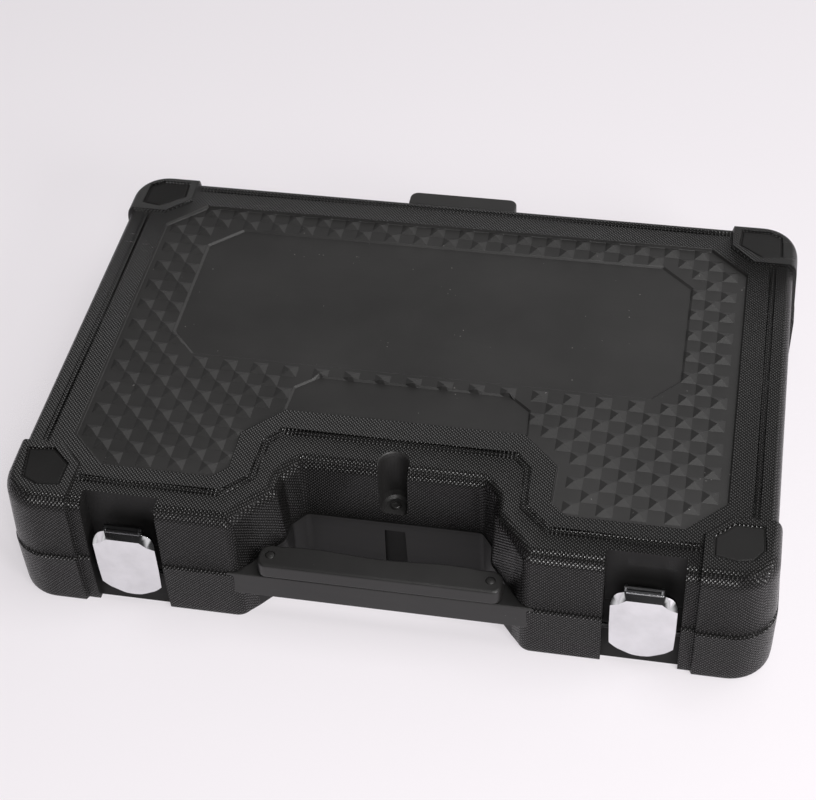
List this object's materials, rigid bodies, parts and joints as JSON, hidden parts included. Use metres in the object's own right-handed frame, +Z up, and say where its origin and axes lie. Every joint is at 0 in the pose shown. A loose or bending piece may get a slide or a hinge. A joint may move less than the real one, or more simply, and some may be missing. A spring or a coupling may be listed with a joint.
{
  "type": "socket set in carry case",
  "caption": "Moulded carry case with a hinged lid, two toggle latches and a built-in handle, holding ratchets, sockets and bars.",
  "frame": {"origin": "under the middle of the case, on the surface it lies on", "axes": "+X to the right seen from the handle side, +Y from the handle to the lid hinge, +Z up"},
  "size_m": [0.386, 0.27, 0.074],
  "materials": {
    "case_shell": "black blow-moulded polyethylene with a fine diamond grain",
    "handle_grip": "smooth black satin",
    "inner_moulding": "charcoal moulded lining, matt",
    "latch_plate": "bright nickel chrome on pressed steel",
    "steel_hardware": "bare steel pins and screws",
    "chrome_tool": "polished chrome vanadium",
    "tool_steel": "satin tool steel",
    "tool_grip": "matt black grip",
    "bit_rack": "matt black rubber"
  },
  "bodies": {
    "case_base": {"base_shell": "case_shell", "handle_grip": "handle_grip", "base_tray": "inner_moulding", "hinge_pin_left": "steel_hardware", "hinge_pin_right": "steel_hardware", "grip_screw_left": "steel_hardware", "grip_screw_right": "steel_hardware", "latch_base_pin_left": "steel_hardware", "latch_base_pin_right": "steel_hardware", "half_drive_socket_10": "chrome_tool", "half_drive_socket_12": "chrome_tool", "half_drive_socket_13": "chrome_tool", "half_drive_socket_14": "chrome_tool", "half_drive_socket_15": "chrome_tool", "half_drive_socket_17": "chrome_tool", "half_drive_socket_19": "chrome_tool", "half_drive_socket_22": "chrome_tool", "half_drive_socket_24": "chrome_tool", "half_drive_socket_27": "chrome_tool", "quarter_drive_socket_6": "chrome_tool", "quarter_drive_socket_7": "chrome_tool", "quarter_drive_socket_8": "chrome_tool", "quarter_drive_socket_9": "chrome_tool", "quarter_drive_socket_10": "chrome_tool", "quarter_drive_socket_12": "chrome_tool", "spark_plug_socket_16": "chrome_tool", "spark_plug_socket_21": "chrome_tool", "half_drive_ratchet_body": "chrome_tool", "half_drive_ratchet_grip": "tool_grip", "quarter_drive_ratchet_body": "chrome_tool", "quarter_drive_ratchet_grip": "tool_grip", "half_drive_extension_250": "chrome_tool", "half_drive_extension_125": "chrome_tool", "quarter_drive_extension_100": "chrome_tool", "quarter_drive_extension_50": "chrome_tool", "universal_joint_socket_yoke": "chrome_tool", "sliding_bar_rod": "chrome_tool", "spinner_shank": "chrome_tool", "spinner_handle": "tool_grip", "bit_rack": "bit_rack", "screwdriver_bit_1": "tool_steel", "screwdriver_bit_2": "tool_steel", "screwdriver_bit_3": "tool_steel"},
    "lid": {"lid_shell": "case_shell", "lid_liner": "inner_moulding"},
    "latch_left_link": {"latch_link_left": "latch_plate", "latch_lever_pin_left": "steel_hardware"},
    "latch_left_lever": {"latch_lever_left": "latch_plate"},
    "latch_right_link": {"latch_link_right": "latch_plate", "latch_lever_pin_right": "steel_hardware"},
    "latch_right_lever": {"latch_lever_right": "latch_plate"},
    "half_ratchet_drive": {"half_drive_ratchet_drive": "tool_steel"},
    "half_ratchet_button": {"half_drive_ratchet_button": "tool_steel"},
    "half_ratchet_selector": {"half_drive_ratchet_selector": "tool_steel"},
    "quarter_ratchet_drive": {"quarter_drive_ratchet_drive": "tool_steel"},
    "quarter_ratchet_button": {"quarter_drive_ratchet_button": "tool_steel"},
    "quarter_ratchet_selector": {"quarter_drive_ratchet_selector": "tool_steel"},
    "joint_cross": {"universal_joint_cross": "tool_steel"},
    "joint_square_yoke": {"universal_joint_square_yoke": "chrome_tool"},
    "sliding_block": {"sliding_bar_block": "chrome_tool"}
  },
  "joints": [
    {"name": "lid_hinge", "type": "hinge", "parent": "case_base", "child": "lid", "pos_m": [0, 0.129, 0.0348], "axis": [-1, 0, 0], "range_deg": [0, 104]},
    {"name": "latch_left_link_swing", "type": "hinge", "parent": "case_base", "child": "latch_left_link", "pos_m": [-0.129, -0.1275, 0.0225], "axis": [1, 0, 0], "range_deg": [0, 60]},
    {"name": "latch_left_lever_swing", "type": "hinge", "parent": "latch_left_link", "child": "latch_left_lever", "pos_m": [-0.129, -0.1278, 0.0532], "axis": [-1, 0, 0], "range_deg": [0, 120]},
    {"name": "latch_right_link_swing", "type": "hinge", "parent": "case_base", "child": "latch_right_link", "pos_m": [0.129, -0.1275, 0.0225], "axis": [1, 0, 0], "range_deg": [0, 60]},
    {"name": "latch_right_lever_swing", "type": "hinge", "parent": "latch_right_link", "child": "latch_right_lever", "pos_m": [0.129, -0.1278, 0.0532], "axis": [-1, 0, 0], "range_deg": [0, 120]},
    {"name": "half_ratchet_spin", "type": "hinge", "parent": "case_base", "child": "half_ratchet_drive", "pos_m": [-0.155, 0.058, 0.0381], "axis": [0, 0, 1], "continuous": true},
    {"name": "half_ratchet_selector_turn", "type": "hinge", "parent": "case_base", "child": "half_ratchet_selector", "pos_m": [-0.155, 0.058, 0.0381], "axis": [0, 0, 1], "range_deg": [-20, 20]},
    {"name": "half_ratchet_button_press", "type": "slide", "parent": "half_ratchet_drive", "child": "half_ratchet_button", "axis": [0, 0, -1], "range_m": [0, 0.002], "stiffness_N_per_m": 300},
    {"name": "quarter_ratchet_spin", "type": "hinge", "parent": "case_base", "child": "quarter_ratchet_drive", "pos_m": [-0.16, -0.002, 0.0258], "axis": [0, 0, 1], "continuous": true},
    {"name": "quarter_ratchet_selector_turn", "type": "hinge", "parent": "case_base", "child": "quarter_ratchet_selector", "pos_m": [-0.16, -0.002, 0.0258], "axis": [0, 0, 1], "range_deg": [-20, 20]},
    {"name": "quarter_ratchet_button_press", "type": "slide", "parent": "quarter_ratchet_drive", "child": "quarter_ratchet_button", "axis": [0, 0, -1], "range_m": [0, 0.002], "stiffness_N_per_m": 300},
    {"name": "universal_joint_turn", "type": "hinge", "parent": "case_base", "child": "joint_cross", "pos_m": [0.142, -0.006, 0.0246], "axis": [0, 0, 1], "range_deg": [-14, 14]},
    {"name": "universal_joint_tilt", "type": "hinge", "parent": "joint_cross", "child": "joint_square_yoke", "pos_m": [0.142, -0.006, 0.0246], "axis": [0, 1, 0], "range_deg": [-14, 14]},
    {"name": "sliding_bar_slide", "type": "slide", "parent": "case_base", "child": "sliding_block", "axis": [1, 0, 0], "range_m": [-0.045, 0.045]}
  ],
  "couplings": [
    {"joint": "latch_left_link_swing", "follows": "latch_left_lever_swing", "ratio": 0.5},
    {"joint": "latch_right_link_swing", "follows": "latch_right_lever_swing", "ratio": 0.5}
  ]
}
